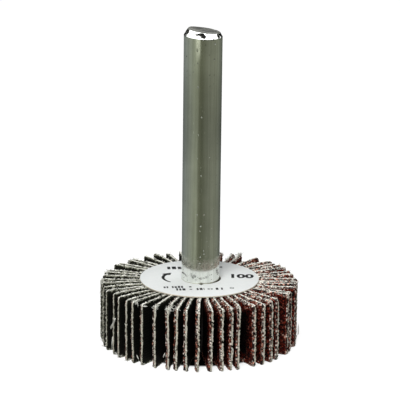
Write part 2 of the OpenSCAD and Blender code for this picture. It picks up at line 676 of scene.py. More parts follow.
def start_from(primitive: Callable[..., Any], **settings: Any) -> Piece:
    """Adds a primitive with its place in its mesh.

    Args:
        primitive: Blender's operator that adds it.
        settings: Its size and place.

    Returns:
        The new object, alone selected.
    """
    deselect()
    primitive(**settings)
    piece = bpy.context.object
    apply_place(piece)
    return piece


@contextmanager
def editing(piece: Piece) -> Iterator[None]:
    """Puts one object in edit mode for the steps inside, with all of it selected.

    Args:
        piece: The object.
    """
    pick_one(piece)
    bpy.ops.object.mode_set(mode="EDIT")
    bpy.ops.mesh.select_all(action="SELECT")
    yield
    bpy.ops.object.mode_set(mode="OBJECT")


def select_where(piece: Piece, kind: str, wanted: Callable[[Any], bool]) -> None:
    """Selects the parts of a mesh in edit mode that pass a test, and no others.

    Args:
        piece: Object in edit mode.
        kind: VERT, EDGE or FACE.
        wanted: Test of one vertex, edge or face.
    """
    bpy.ops.mesh.select_mode(type=kind)
    bpy.ops.mesh.select_all(action="DESELECT")
    work = bmesh.from_edit_mesh(piece.data)
    for part in {"VERT": work.verts, "EDGE": work.edges, "FACE": work.faces}[kind]:
        if wanted(part):
            part.select_set(True)
    work.select_flush_mode()
    bmesh.update_edit_mesh(piece.data)


def finish_with(piece: Piece, kind: str, **settings: Any) -> None:
    """Adds a modifier and applies it.

    Args:
        piece: Object that the modifier finishes.
        kind: Blender's name for the type of modifier.
        settings: Values of the modifier's properties.
    """
    pick_one(piece)
    modifier = piece.modifiers.new(kind.lower(), kind)
    for name, value in settings.items():
        setattr(modifier, name, value)
    bpy.ops.object.modifier_apply(modifier=modifier.name)


def combine(piece: Piece, operation: str, other: Piece) -> None:
    """Joins a piece with another or cuts it to their common part, and removes the other."""
    finish_with(piece, "BOOLEAN", operation=operation, solver="EXACT", object=other)
    bpy.data.objects.remove(other)


def smooth_below(piece: Piece, angle: float) -> None:
    """Smooths a piece, apart from edges sharper than an angle in degrees."""
    pick_one(piece)
    bpy.ops.object.shade_smooth_by_angle(angle=math.radians(angle))


def points_of(mesh: Mesh) -> np.ndarray:
    """Gives the points of a mesh.

    Args:
        mesh: The mesh.

    Returns:
        Rows of x, y and z.
    """
    flat = np.empty(len(mesh.vertices) * 3)
    mesh.vertices.foreach_get("co", flat)
    return flat.reshape(-1, 3)


def set_points(mesh: Mesh, points: np.ndarray) -> None:
    """Moves a mesh's points to the rows of an array."""
    mesh.vertices.foreach_set("co", points.astype(np.float32).ravel())
    mesh.update()


def turn_of(x: np.ndarray, y: np.ndarray) -> np.ndarray:
    """Gives the angle of each place from the front, in degrees from -180 to 180."""
    return np.degrees(np.arctan2(x, -y))


def ramp(values: np.ndarray, start: float, end: float) -> np.ndarray:
    """Gives 0 up to the start, 1 from the end on and a straight rise between them."""
    return np.clip((values - start) / (end - start), 0, 1)


def dress(piece: Piece, *kinds: type) -> None:
    """Gives a piece the materials of its finishes, each made on its first use.

    Args:
        piece: The object.
        kinds: Its finishes, in the order of their numbers on faces.
    """
    piece.data.materials.clear()
    for kind in kinds:
        made = bpy.data.materials.get(kind.name)
        piece.data.materials.append(made or kind().build())


def mount(piece: Piece, slot: Slot, *nodes: str) -> None:
    """Hands a finished piece to the frame and reports it.

    Args:
        piece: Finished object.
        slot: Material slot of the record; not used.
        nodes: Nodes of the frame that the piece stands for.
    """
    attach(piece, BODY)
    if nodes:
        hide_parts(*nodes)
    log.info("%s: %d faces", piece.name, len(piece.data.polygons))


class Nick(NamedTuple):
    """A dent in the shank's end: its place, half its size, its depth and its finish."""

    angle: float
    height: float
    half_width: float
    half_height: float
    depth: float
    skin: Steel


@dataclass
class Shank:
    """The steel bar: a knurled foot in the resin, a plain stem and a sheared, chamfered end.

    The main sizes repeat those of the solid.
    """

    radius: float = 3.0
    knurl_raise: float = 0.1
    knurl_depth: float = 0.3
    knurl_count: int = 20
    foot_z: float = 0.9
    seat_z: float = 10.08
    end_z: float = 50.28
    chamfer_h: float = 0.8
    chamfer_slope: float = 58.0
    chamfer_tilt: float = 2.5
    shear_side: float = 7.0
    shear_back: float = 1.5
    rounding: float = 0.07
    round_faces: int = 160
    # How far the bar and the cone run past the end before it is cut
    past: float = 1.0
    past_cone: float = 1.2
    # Cuts round the end, from below its chamfer up, that give the nicks their faces
    fine_below: float = 0.9
    fine_step: float = 0.1
    fine_levels: int = 19
    lip_turn: float = -115.0
    lip_spread: float = 1200.0
    lip_h: float = 0.10
    lip_top: float = 50.60
    rim_h: float = 0.25
    rim_r: float = 1.9
    nick_fall: float = 1.3
    nick_rim: float = 0.95
    nicks: tuple[Nick, ...] = (
        Nick(-4.5, 50.08, 0.46, 0.25, 0.16, Steel.DIRTY),
        Nick(1.5, 49.84, 0.46, 0.26, 0.14, Steel.DIRTY),
        Nick(-16.0, 50.10, 0.75, 0.14, 0.10, Steel.DIRTY),
        Nick(60.0, 49.66, 0.30, 0.26, 0.16, Steel.DIRTY),
        Nick(76.0, 49.72, 0.12, 0.30, 0.08, Steel.DIRTY),
        Nick(-72.0, 50.10, 0.55, 0.26, 0.12, Steel.SHEARED),
        Nick(-80.0, 49.70, 0.30, 0.22, 0.10, Steel.DIRTY),
        Nick(27.0, 49.50, 0.20, 0.10, 0.04, Steel.GROUND),
        Nick(140.0, 49.90, 0.36, 0.22, 0.12, Steel.DIRTY),
        Nick(-140.0, 49.80, 0.30, 0.24, 0.12, Steel.SHEARED),
    )

    def bar(self, faces: int, radius: float, low: float, high: float) -> Piece:
        """Makes a round bar on the axis.

        Args:
            faces: Number of its sides.
            radius: Its radius.
            low: Height of its lower end.
            high: Height of its upper end.

        Returns:
            The bar.
        """
        return start_from(
            bpy.ops.mesh.primitive_cylinder_add, vertices=faces, radius=radius,
            depth=high - low, location=(0.0, 0.0, (high + low) / 2))

    def chamfer_cone(self) -> Piece:
        """Makes the cone that the end of the bar was ground to.

        Returns:
            The cone, tilted about the chamfer's foot.
        """
        steep = math.tan(math.radians(self.chamfer_slope))
        foot = self.end_z - self.chamfer_h
        below = foot - self.seat_z + self.past
        above = self.chamfer_h + self.past_cone
        cone = start_from(
            bpy.ops.mesh.primitive_cone_add, vertices=self.round_faces,
            radius1=self.radius + below / steep, radius2=self.radius - above / steep,
            depth=below + above, location=(0.0, 0.0, (above - below) / 2))
        cone.data.transform(
            Matrix.Translation((0.0, 0.0, foot))
            @ Matrix.Rotation(math.radians(self.chamfer_tilt), 4, "Y"))
        return cone

    def shear(self, stem: Piece) -> None:
        """Cuts the stem's end off at a slant and closes it.

        Args:
            stem: The chamfered bar.
        """
        slant = (
            Matrix.Rotation(math.radians(-self.shear_back), 3, "X")
            @ Matrix.Rotation(math.radians(self.shear_side), 3, "Y"))
        with editing(stem):
            bpy.ops.mesh.bisect(
                plane_co=(0.0, 0.0, self.end_z), plane_no=slant @ Vector((0.0, 0.0, 1.0)),
                use_fill=True, clear_outer=True)

    def knurl(self) -> Piece:
        """Makes the knurled foot, whose end shows in the resin from below.

        Returns:
            The foot.
        """
        crest = self.radius + self.knurl_raise
        foot = self.bar(2 * self.knurl_count, crest, self.foot_z, self.seat_z)
        points = points_of(foot.data)
        turn = np.degrees(np.arctan2(points[:, 1], points[:, 0])) * self.knurl_count / 180
        groove = np.round(turn).astype(int) % 2 == 1
        points[groove, :2] *= (crest - self.knurl_depth) / crest
        set_points(foot.data, points)
        return foot

    def sort_faces(self, shank: Piece) -> None:
        """Gives the sheared end its torn finish, and the rest the ground one.

        Args:
            shank: The whole bar.
        """
        for face in shank.data.polygons:
            torn = face.center.z > self.end_z - self.chamfer_h and face.normal.z > LEVEL
            face.material_index = (Steel.SHEARED if torn else Steel.GROUND).value

    def in_nick(self, points: np.ndarray, nick: Nick) -> np.ndarray:
        """Tells how far points are inside a nick.

        Args:
            points: Rows of x, y and z.
            nick: The nick.

        Returns:
            0 at the middle, 1 at the rim and more outside.
        """
        turn = turn_of(points[:, 0], points[:, 1]) - nick.angle
        along = np.radians((turn + 180.0) % 360.0 - 180.0) * self.radius
        return np.hypot(
            along / nick.half_width, (points[:, 2] - nick.height) / nick.half_height)

    def press_nicks(self, shank: Piece) -> None:
        """Gives the end enough faces for its nicks, then presses them in.

        The shear also drew up a small lip, at the end's highest place.

        Args:
            shank: The whole bar.
        """
        low = self.end_z - self.chamfer_h - self.fine_below
        with editing(shank):
            for level in [self.seat_z + self.fine_step, *(
                    low + self.fine_step * (step + 1) for step in range(self.fine_levels))]:
                bpy.ops.mesh.select_all(action="SELECT")
                bpy.ops.mesh.bisect(plane_co=(0.0, 0.0, level), plane_no=(0.0, 0.0, 1.0))
        points = points_of(shank.data)
        middles = np.array([face.center for face in shank.data.polygons])
        for nick in self.nicks:
            press = nick.depth * np.exp(-self.nick_fall * self.in_nick(points, nick) ** 2)
            points[:, :2] *= (1.0 - press / self.radius)[:, None]
            inside = self.in_nick(middles, nick) < self.nick_rim
            for index in np.nonzero(inside)[0].tolist():
                shank.data.polygons[index].material_index = nick.skin.value
        turn = turn_of(points[:, 0], points[:, 1]) - self.lip_turn
        lip = self.lip_h * np.exp(-((turn + 180) % 360 - 180) ** 2 / self.lip_spread)
        rim = (points[:, 2] > self.end_z - self.rim_h) & (
            np.hypot(*points[:, :2].T) > self.rim_r)
        points[rim, 2] = np.minimum(points[rim, 2] + lip[rim], self.lip_top)
        set_points(shank.data, points)

    def build(self) -> None:
        """Makes, dresses and mounts the shank."""
        stem = self.bar(self.round_faces, self.radius, self.seat_z, self.end_z + self.past)
        stem.name = "steel_shank"
        combine(stem, "INTERSECT", self.chamfer_cone())
        self.shear(stem)
        finish_with(stem, "BEVEL", width=self.rounding, segments=3, limit_method="ANGLE",
                    angle_limit=math.radians(25))
        combine(stem, "UNION", self.knurl())
        dress(stem, GroundSteel, ShearedSteel, GrindingDirt)
        self.sort_faces(stem)
        self.press_nicks(stem)
        stem.data.transform(Matrix.Scale(MM, 4))
        smooth_below(stem, 35)
        mount(stem, Slot.SHANK, "shank")


@dataclass
class Label:
    """The round paper label and its plain print.

    The print is generic: a grit number, an arrow for the turn, a small ring, and rows of
    bars where the small print would stand. Each row has a left and a right end, a lower
    edge, a height and a mean width of its bars, and the gaps in it are shares of that
    width. The arrow's start is counted from +X.
    """

    diameter: float = 18.8
    thickness: float = 0.2
    hole_r: float = 3.14
    seat_z: float = 10.08
    off_x: float = -0.15
    hole_x: float = 0.13
    near_hole: float = 1.0
    # The hole's edge is chipped at the front: half the chip's angle, and its depth
    chip_half: float = 6.0
    chip_deep: float = 0.45
    rounding: float = 0.03
    ink_t: float = 0.015
    print_turn: float = 4.5
    number: str = "100"
    number_size: float = 3.0
    number_bold: float = 0.11
    number_scale: tuple[float, float] = (0.88, 0.86)
    number_at: tuple[float, float] = (6.45, 0.3)
    arrow_r: float = 5.0
    arrow_bulge: float = 0.9
    arrow_from: float = 206.0
    arrow_sweep: float = 54.0
    arrow_strips: int = 28
    tail_w: float = 0.14
    tail_growth: float = 0.20
    head_from: float = 0.76
    head_w: float = 0.80
    tip_w: float = 0.02
    bulge_from: float = 0.08
    bulge_over: float = 0.84
    ring_r: float = 0.28
    ring_t: float = 0.07
    ring_at: tuple[float, float] = (4.95, -4.95)
    bar_least: float = 0.1
    bar_widths: tuple[float, float] = (0.7, 1.3)
    bar_heights: tuple[float, float] = (0.8, 1.0)
    bar_gap: float = 0.45
    word_gap: float = 1.3
    word_share: float = 0.72
    rows: tuple[tuple[float, float, float, float, float], ...] = (
        (-6.1, -5.3, -4.95, 0.90, 0.34),
        (-4.8, -2.6, -4.95, 1.00, 0.36),
        (-2.1, -1.7, -4.75, 0.60, 0.36),
        (-4.2, -2.6, -6.20, 1.10, 0.40),
        (-2.1, -1.6, -5.90, 0.40, 0.36),
        (-1.0, 0.2, -6.10, 1.10, 0.40),
        (0.7, 1.7, -5.90, 0.45, 0.30),
        (2.0, 3.5, -6.10, 1.10, 0.34),
        (-4.9, -2.7, 4.75, 1.35, 0.60),
        (3.3, 4.2, 5.30, 0.50, 0.60),
    )

    @property
    def top_z(self) -> float:
        """Height of the paper's upper face."""
        return self.seat_z + self.thickness

    def paper(self) -> Piece:
        """Makes the paper ring.

        Returns:
            The ring, dressed and still in millimetres.
        """
        paper = start_from(
            bpy.ops.mesh.primitive_cylinder_add, vertices=192, radius=self.diameter / 2,
            depth=self.thickness, location=(self.off_x, 0.0, self.seat_z + self.thickness / 2))
        paper.name = "paper_label"
        with editing(paper):
            select_where(paper, "FACE", lambda face: abs(face.normal.z) > LEVEL)
            bpy.ops.mesh.inset(thickness=self.diameter / 2 - self.hole_r)
            bpy.ops.mesh.bridge_edge_loops()
        points = points_of(paper.data)
        away = np.hypot(points[:, 0] - self.off_x, points[:, 1]) - self.hole_r
        inner = away < self.near_hole
        points[inner, 0] += self.hole_x - self.off_x
        turn = turn_of(points[:, 0] - self.hole_x, points[:, 1])
        chip = inner & (np.abs(turn) < self.chip_half)
        points[chip, 1] -= self.chip_deep * (1 - (turn[chip] / self.chip_half) ** 2)
        set_points(paper.data, points)
        finish_with(paper, "BEVEL", width=self.rounding, segments=2, limit_method="ANGLE",
                    angle_limit=math.radians(40))
        dress(paper, CoatedPaper, PaperEdge)
        for face in paper.data.polygons:
            face.material_index = 0 if abs(face.normal.z) > LEVEL else 1
        return paper

    def print_rows(self) -> Iterable[Piece]:
        """Makes the rows of bars that stand for lines of print.

        Returns:
            The bars, one after another.
        """
        draw = random.Random(7)
        turned = Matrix.Rotation(math.radians(self.print_turn), 4, "Z")
        for left, right, low, height, mean in self.rows:
            at = left
            while at < right - self.bar_least:
                width = min(mean * draw.uniform(*self.bar_widths), right - at)
                tall = height * draw.uniform(*self.bar_heights)
                bar = start_from(
                    bpy.ops.mesh.primitive_cube_add, size=1.0, scale=(width, tall, self.ink_t),
                    location=(at + width / 2, low + tall / 2, self.top_z + self.ink_t / 2))
                bar.data.transform(turned)
                yield bar
                within_word = draw.random() < self.word_share
                at += width + mean * (self.bar_gap if within_word else self.word_gap)

    def print_number(self) -> Piece:
        """Makes the plain grit number.

        Returns:
            The number as a mesh.
        """
        deselect()
        bpy.ops.object.text_add()
        number = bpy.context.object
        number.data.body = self.number
        number.data.size = self.number_size
        number.data.offset = self.number_bold
        number.data.extrude = self.ink_t / 2
        number.data.align_x = "CENTER"
        bpy.ops.object.convert(target="MESH")
        number = bpy.context.object
        number.scale = (*self.number_scale, 1.0)
        number.location = (*self.number_at, self.top_z + self.ink_t / 2)
        apply_place(number)
        return number

    def print_arrow(self) -> Piece:
        """Makes the curved arrow that shows the turn, clockwise from above.

        Returns:
            The arrow.
        """
        arrow = start_from(
            bpy.ops.mesh.primitive_grid_add, x_subdivisions=self.arrow_strips,
            y_subdivisions=1, size=1.0)
        points = points_of(arrow.data)
        along = points[:, 0] + 0.5
        width = np.where(
            along < self.head_from, self.tail_w + self.tail_growth * along,
            self.head_w * (1.0 - along) / (1.0 - self.head_from))
        turn = np.radians(self.arrow_from - self.arrow_sweep * along)
        bulge = np.sin(math.pi * (self.bulge_from + self.bulge_over * along))
        middle = self.arrow_r + self.arrow_bulge * bulge
        radius = middle + points[:, 1] * 2.0 * np.maximum(width, self.tip_w)
        set_points(arrow.data, np.stack([
            radius * np.cos(turn), radius * np.sin(turn), np.full(len(turn), self.top_z)], 1))
        with editing(arrow):
            bpy.ops.mesh.normals_make_consistent(inside=False)
        finish_with(arrow, "SOLIDIFY", thickness=self.ink_t, offset=1.0)
        return arrow

    def print_ring(self) -> Piece:
        """Makes the small round mark at the front right.

        Returns:
            The mark.
        """
        ring = start_from(
            bpy.ops.mesh.primitive_torus_add, major_radius=self.ring_r,
            minor_radius=self.ring_t, major_segments=20, minor_segments=6,
            location=(*self.ring_at, self.top_z))
        points = points_of(ring.data)
        points[:, 2] = self.top_z + (points[:, 2] > self.top_z) * self.ink_t
        set_points(ring.data, points)
        return ring

    def build(self) -> None:
        """Makes, dresses and mounts the paper and its print."""
        paper = self.paper()
        marks = [
            *self.print_rows(), self.print_number(), self.print_arrow(), self.print_ring()]
        pick_one(marks[0])
        for mark in marks:
            mark.select_set(True)
        bpy.ops.object.join()
        ink = bpy.context.object
        ink.name = "label_print"
        dress(ink, PrintingInk)
        for piece in (paper, ink):
            apply_place(piece)
            piece.data.transform(Matrix.Scale(MM, 4))
        smooth_below(paper, 30)
        mount(paper, Slot.LABEL, "label")
        mount(ink, Slot.LABEL)


@dataclass
class ResinCore:
    """The cast resin, whose solid keeps its shape and gets its finish here."""

    node: str = "resin_core"

    def build(self) -> None:
        """Dresses the solid."""
        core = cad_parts[self.node]
        dress(core, CastResin)
        log.info("%s: dressed", core.name)


@dataclass
class FlapPack:
    """The ring of coated cloth flaps, by the rule that bends the solids.

    A few flat blanks are modelled in full: a lattice box with rounded corners, grainy on one
    side and frayed at its cut edges, where the grit is chipped back from the cloth. Each
    flap is a copy of one, bent into its place. The flaps at +X are worn a little shorter
    than those at -X. Each relief has a kind of texture, its cell size, the group of points
    that it moves, its travel, its level at rest and its direction.
    """

    count: int = 52
    first_turn: float = -1.0
    wheel_r: float = 15.6
    height: float = 9.9
    cloth_t: float = 0.45
    grit_t: float = 0.35
    corner_r: float = 0.4
    # The free cloth is pressed thinner, and the grit breaks back from its edges
    pressed: float = 0.19
    press_reach: float = 1.5
    chip: float = 0.18
    chip_reach: float = 0.7
    # Wear of the flaps at +X, and what those at -X have more
    short_side: float = 0.16
    long_side: float = 0.18
    # Painted shade deep between the flaps: the radius inside which it is full, and the reach of
    # light from the upper and lower edges
    full_shade_r: float = 13.2
    lit_reach: float = 1.9
    fray_tip: float = 0.45
    fray_side: float = 1.1
    yarn_reach: float = 0.16
    grit_share: float = 0.55
    # The darkest share of light that the painted shade leaves
    deepest_shade: float = 0.02
    open_power: float = 1.5
    twist: float = 0.16
    wave: float = 0.07
    wave_turns: tuple[float, float] = (3.0, 8.0)
    wave_starts: tuple[float, float] = (0.0, 6.0)
    root_gap: float = 0.06
    grip: float = 1.2
    straight: float = 0.3
    bend_power: float = 1.6
    lift: float = 0.06
    trim: float = 0.05
    fine_r: float = 12.0
    # A trim grows from the fine steps outwards, to this multiple past the tip
    past_tip: float = 1.2
    # Rounds in which a bent point settles at its own radius
    fit_rounds: int = 3
    face_band: float = 0.01
    least_weight: float = 0.001
    steps: tuple[int, int, int] = (40, 6, 72)
    coarse_steps: int = 8
    blanks: int = 5
    blank_apart: float = 40.0
    leans: tuple[int, ...] = (
        0, 1, 0, -2, -6, 0, -1, -2, -4, 3, 1, 5, 4,
        2, -3, 2, 2, -1, -1, -5, -9, -2, 6, 3, 4, 1,
        -1, 1, -1, 1, 2, 3, 6, 2, 4, 0, 5, 1, 1,
        1, 2, 3, 2, 5, 3, 3, 1, 0, 3, 5, 2, 0,
    )
    lifts: tuple[int, ...] = (0, 2, 1, 0, 3, 1, 0, 2, 1, 3, 0, 1, 2)
    trims: tuple[int, ...] = (0, 2, 1, 3, 0, 4, 1)
    reliefs: tuple[tuple[str, float, str, float, float, str], ...] = (
        ("VORONOI", 0.34, "grain", -0.26, 0.35, "NORMAL"),
        ("CLOUDS", 0.24, "yarn", 0.27, 0.47, "NORMAL"),
        ("CLOUDS", 0.50, "yarn", 0.20, 0.5, "Y"),
        ("CLOUDS", 3.2, "free", 0.28, 0.5, "Y"),
    )
    draw: random.Random = field(default_factory=lambda: random.Random(52))

    @property
    def thickness(self) -> float:
        """Thickness of cloth and grit together."""
        return self.cloth_t + self.grit_t

    @property
    def grit_to(self) -> float:
        """Place across the thickness at which the grit ends and the cloth starts."""
        return self.grit_t - self.thickness / 2

    @property
    def pitch(self) -> float:
        """Angle between neighbouring roots, in radians."""
        return 2.0 * math.pi / self.count

    @property
    def root_r(self) -> float:
        """Radius at which the roots start."""
        return (self.thickness + self.root_gap) / (2.0 * math.tan(self.pitch / 2))

    @property
    def bend_r(self) -> float:
        """Radius at which the bend sets in."""
        return self.root_r + self.grip + self.straight

    def lattice_box(self) -> Piece:
        """Makes a unit box whose edges are cut into the blank's steps.

        Returns:
            The box, from 0 to 1 on each axis.
        """
        box = start_from(bpy.ops.mesh.primitive_cube_add, size=1.0, location=(0.5, 0.5, 0.5))
        with editing(box):
            for axis, number in enumerate(self.steps):
                select_where(box, "EDGE", lambda edge: abs(
                    edge.verts[1].co[axis] - edge.verts[0].co[axis]) > 1e-6)
                bpy.ops.mesh.subdivide(number_cuts=number - 1)
        return box

    def flat_points(self, share: np.ndarray) -> np.ndarray:
        """Turns places in the unit box to places on the flat flap.

        Args:
            share: Rows of shares of the length, thickness and height.

        Returns:
            Rows of radius, place across the thickness and height.
        """
        length = self.steps[0]
        radius = np.interp(
            share[:, 0] * length, [0, self.coarse_steps, length],
            [self.root_r, self.fine_r, self.wheel_r])
        half = self.thickness / 2
        free = ramp(radius, self.bend_r, self.bend_r + self.press_reach)
        back = half - self.pressed * free * free * (3 - 2 * free)
        across = share[:, 1] * 2
        layer = np.where(
            across < 1, -half + (self.grit_to + half) * across,
            self.grit_to + (back - self.grit_to) * (across - 1))
        height = share[:, 2] * self.height
        inner_r = self.wheel_r - self.corner_r
        out = ramp(radius, inner_r, self.wheel_r)
        for low, sign in ((self.height - self.corner_r, 1.0), (self.corner_r, -1.0)):
            up = ramp(height, low, low + sign * self.corner_r)
            corner = (out > 0) & (up > 0)
            radius = np.where(
                corner, inner_r + self.corner_r * out * np.sqrt(1 - up ** 2 / 2), radius)
            height = np.where(
                corner, low + sign * self.corner_r * up * np.sqrt(1 - out ** 2 / 2), height)
        chip = self.chip * free * np.clip((self.grit_to - layer) / self.grit_t, 0, 1)
        radius = radius - chip * ramp(radius, self.wheel_r - self.chip_reach, self.wheel_r)
        height = height - chip * (
            ramp(height, self.height - self.chip_reach, self.height)
            - ramp(height, self.chip_reach, 0.0))
        return np.stack([radius, layer, height], 1)

    def closeness(self, flat: np.ndarray, reach: float, tip: bool = True) -> np.ndarray:
        """Tells how close each point is to the flap's cut edges.

        Args:
            flat: Rows of radius, place across the thickness and height.
            reach: Distance at which the closeness falls to 0.
            tip: Whether the outer edge counts, beside the upper and lower ones.

        Returns:
            Values from 0 to 1 at the edge.
        """
        outer = self.wheel_r - flat[:, 0] if tip else np.full(len(flat), reach)
        away = np.minimum.reduce([outer, flat[:, 2], self.height - flat[:, 2]])
        return ramp(away, reach, 0.0)

    def blank(self, number: int) -> Piece:
        """Models one flat flap with its grain and its frayed edges.

        Args:
            number: Which of the blanks it is.

        Returns:
            The blank.
        """
        box = self.lattice_box()
        box.name = f"flap_blank_{number}"
        mesh = box.data
        flat = self.flat_points(points_of(mesh))
        set_points(mesh, flat)
        dress(box, BondedGrit, FinishedBacking, BrokenGrit, CutCotton)
        self.sort_faces(mesh)
        self.mark_wear_and_shade(mesh, flat)
        free = ramp(flat[:, 0], self.bend_r, self.wheel_r)
        grit_side = np.clip((self.grit_to - flat[:, 1]) / self.grit_t, 0, 1)
        on_face = flat[:, 1] < self.face_band - self.thickness / 2
        on_grit = self.grit_share * grit_side
        yarn = self.closeness(flat, self.yarn_reach) * (1.0 - on_grit)
        for name, weights in {
                "grain": np.where(on_face, 1.0, on_grit) * (free > 0),
                "yarn": yarn * (free > 0), "free": free ** self.open_power}.items():
            group = box.vertex_groups.new(name=name)
            for index in np.nonzero(weights > self.least_weight)[0].tolist():
                group.add([index], float(weights[index]), "REPLACE")
        # Each blank stands elsewhere in the textures, so that no two are alike
        shift = Matrix.Translation((self.blank_apart * (number + 1), 0.0, 0.0))
        mesh.transform(shift)
        for kind, size, group, strength, middle, direction in self.reliefs:
            texture = bpy.data.textures.new(f"{group}_{kind.lower()}", kind)
            texture.noise_scale = size
            finish_with(
                box, "DISPLACE", texture=texture, texture_coords="LOCAL", strength=strength,
                mid_level=middle, direction=direction, vertex_group=group)
            bpy.data.textures.remove(texture)
        mesh.transform(shift.inverted())
        return box

    def sort_faces(self, mesh: Mesh) -> None:
        """Gives each face of a flat blank the material of its side.

        Args:
            mesh: Mesh of the blank.
        """
        for face in mesh.polygons:
            if abs(face.normal.y) > LEVEL:
                skin = Skin.GRIT if face.normal.y < 0 else Skin.BACKING
            else:
                skin = Skin.CUT_GRIT if face.center.y < self.grit_to else Skin.CUT_CLOTH
            face.material_index = skin.value

    def mark_wear_and_shade(self, mesh: Mesh, flat: np.ndarray) -> None:
        """Marks where a flat blank is frayed and how far it is spared painted shade, and maps it
        along its yarns.

        Args:
            mesh: Mesh of the blank.
            flat: Rows of radius, place across the thickness and height.
        """
        # Painted shade deep between the flaps: darkest towards the core, lifting towards the tip
        # and near the upper and lower edges, where the light reaches
        open_side = ramp(flat[:, 0], self.full_shade_r, self.wheel_r) ** self.open_power
        ends = self.closeness(flat, self.lit_reach, tip=False)
        frayed = self.closeness(flat, self.fray_side, tip=False)
        for name, values in {
                UNSHADED: np.maximum(np.maximum(open_side, ends), self.deepest_shade),
                FRAY: np.maximum(self.closeness(flat, self.fray_tip), frayed)}.items():
            marks = mesh.attributes.new(name, "FLOAT", "POINT")
            marks.data.foreach_set("value", values.astype(np.float32))
        corners = np.empty(len(mesh.loops), dtype=np.int32)
        mesh.loops.foreach_get("vertex_index", corners)
        mesh.uv_layers.new(name=CLOTH_MAP).data.foreach_set(
            "uv", flat[corners][:, [0, 2]].astype(np.float32).ravel())

    def bent(self, flat: np.ndarray, index: int) -> np.ndarray:
        """Bends a flat flap into its place in the ring.

        Args:
            flat: Rows of radius, place across the thickness and height.
            index: Number of the flap, from 0.

        Returns:
            Rows of x, y and z.
        """
        lean = self.leans[index] / 10.0 * self.pitch
        span = self.wheel_r - self.bend_r
        turn = math.radians(self.first_turn - 90.0) + index * self.pitch
        trim = self.trims[index % len(self.trims)] * self.trim
        trim += self.short_side * max(0.0, math.cos(turn))
        trim -= self.long_side * max(0.0, -math.cos(turn)) ** 3
        out = np.clip(
            (flat[:, 0] - self.fine_r) / (self.wheel_r - self.fine_r), 0, self.past_tip)
        target = flat[:, 0] - trim * out
        off = flat[:, 1]
        radius = target.copy()
        for _ in range(self.fit_rounds):
            share = np.clip((radius - self.bend_r) / span, 0, None)
            bend = lean * share ** self.bend_power
            slope = lean * self.bend_power * share ** (self.bend_power - 1) / span
            heading = bend + np.arctan(radius * slope)
            radius = target + off * np.sin(heading - bend)
        x = radius * np.cos(bend) - off * np.sin(heading)
        y = radius * np.sin(bend) + off * np.cos(heading)
        lift = self.lifts[index % len(self.lifts)] * self.lift
        z = flat[:, 2] + lift * np.clip(flat[:, 2] / self.height, 0, 1)
        return np.stack([
            x * math.cos(turn) - y * math.sin(turn),
            x * math.sin(turn) + y * math.cos(turn), z], 1)

    def place_copy(self, blank: Piece, index: int) -> None:
        """Copies a blank, warps it a little, bends it into place and mounts it.

        Args:
            blank: The blank.
            index: Number of the flap, from 0.
        """
        flap = blank.copy()
        flap.data = blank.data.copy()
        flap.name = f"coated_flap_{index + 1:02d}"
        flap.vertex_groups.clear()
        bpy.context.scene.collection.objects.link(flap)
        flat = points_of(flap.data)
        if self.draw.random() < 0.5:
            flat[:, 2] = self.height - flat[:, 2]
            flap.data.flip_normals()
        share = np.clip((flat[:, 0] - self.bend_r) / (self.wheel_r - self.bend_r), 0, None)
        level = flat[:, 2] / self.height - 0.5
        twist = self.draw.uniform(-self.twist, self.twist)
        wave = self.draw.uniform(0.0, self.wave)
        turns = self.draw.uniform(*self.wave_turns)
        start = self.draw.uniform(*self.wave_starts)
        warp = twist * level + wave * np.sin(level * turns + start)
        flat[:, 1] += share ** self.bend_power * warp
        points = self.bent(flat, index)
        points[:, 2] = np.clip(points[:, 2], 0.0, None)
        set_points(flap.data, points * MM)
        mount(flap, Slot.CLOTH, f"flap_{index + 1:02d}")

    def build(self) -> None:
        """Makes, dresses and mounts all flaps, with no two neighbours from one blank."""
        blanks = [self.blank(number) for number in range(self.blanks)]
        last = -1
        for index in range(self.count):
            pick = self.draw.randrange(self.blanks)
            if pick == last:
                pick = (pick + 1) % self.blanks
            last = pick
            self.place_copy(blanks[pick], index)
        for blank in blanks:
            bpy.data.meshes.remove(blank.data)

    def at_edge(self, index: int, radius: float, off: float, height: float) -> Vector:
        """Gives where a point of a flat flap comes to stand in the ring."""
        return Vector(self.bent(np.array([[radius, off, height]]), index)[0])


class Strand(NamedTuple):
    """A long strand: angle and height of both ends, radius of its yarns and their spread."""

    first: float
    high: float
    last: float
    low: float
    radius: float
    spread: float


class Tuft(NamedTuple):
    """A tuft of fibres: its flap, counted from 0, its place, number of fibres and size."""

    flap: int
    radius: float
    height: float
    number: int
    size: float


class Edge(NamedTuple):
    """A cut edge, which short fibres leave: its place and how far they run from it.

    Edges are drawn by a number below their limit. The place is the radius of the upright
    edge and the height of the others, and fibres start anywhere on the span. They run off
    it, and to both sides along it, by shares of their length.
    """

    limit: float
    upright: bool
    place: float
    span: tuple[float, float]
    off: float
    along: float


# Points, from the root to the free end, and radius of one fibre
Fibre = tuple[list[Vector], float]


